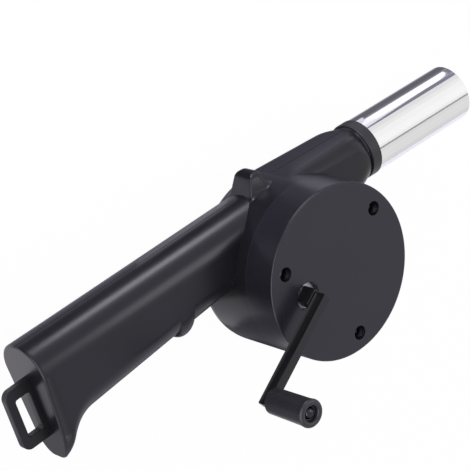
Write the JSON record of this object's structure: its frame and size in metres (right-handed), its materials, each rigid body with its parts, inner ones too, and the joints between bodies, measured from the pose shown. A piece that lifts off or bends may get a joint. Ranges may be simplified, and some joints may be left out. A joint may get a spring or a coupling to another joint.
{
  "type": "hand crank blower",
  "caption": "Hand-held rotary blower: moulded pistol body with a geared fan, a side crank with a turning grip, a round steel air nozzle and a rear strap loop.",
  "frame": {"origin": "on the fan axis, in the flat back face on which the tool lies", "axes": "+X along the nozzle, away from the handle; +Y from the fan axis towards the nozzle axis; +Z along the crank and fan axes, out of the gear cover"},
  "size_m": [0.3069, 0.098, 0.097],
  "materials": {
    "shell": "satin",
    "cover": "satin",
    "collar": "satin",
    "loop": "satin",
    "grip": "satin",
    "arm": "semi-gloss black",
    "steel": "polished",
    "zinc": "zinc plated",
    "spring": "spring steel",
    "bronze": "sintered bronze",
    "plate": "pressed",
    "nylon": "natural nylon",
    "fan": "moulded"
  },
  "bodies": {
    "housing": {"back_shell": "shell", "front_shell": "shell", "gear_plate": "plate", "gear_cover": "cover", "cover_screws": "zinc", "shell_screws": "zinc", "nozzle_collar": "collar", "nozzle_tube": "steel", "strap_loop": "loop", "crank_bush": "zinc", "crank_lower_bush": "bronze", "fan_upper_bush": "bronze", "fan_lower_bush": "bronze", "idler_axle": "zinc", "idler_clip": "spring"},
    "crank": {"crank_shaft": "zinc", "crank_clip": "spring", "crank_gear": "nylon", "crank_hub": "arm", "crank_arm": "arm", "grip_pin": "steel"},
    "grip": {"crank_grip": "grip"},
    "idler": {"idler_gear": "nylon"},
    "fan": {"fan_shaft": "zinc", "fan_pinion": "nylon", "fan_clip": "spring", "fan_wheel": "fan"}
  },
  "joints": [
    {"name": "crank_spin", "type": "hinge", "parent": "housing", "child": "crank", "pos_m": [-0.0225, -0.0015, 0.058], "axis": [0, 0, 1], "continuous": true},
    {"name": "grip_spin", "type": "hinge", "parent": "crank", "child": "grip", "pos_m": [-0.06711, -0.03193, 0.083], "axis": [0, 0, 1], "continuous": true},
    {"name": "idler_spin", "type": "hinge", "parent": "housing", "child": "idler", "pos_m": [-0.01042, -0.01318, 0.045], "axis": [0, 0, 1], "continuous": true},
    {"name": "fan_spin", "type": "hinge", "parent": "housing", "child": "fan", "pos_m": [0, 0, 0.02], "axis": [0, 0, 1], "continuous": true}
  ],
  "couplings": [
    {"joint": "idler_spin", "follows": "crank_spin", "ratio": -3},
    {"joint": "fan_spin", "follows": "crank_spin", "ratio": 9}
  ]
}
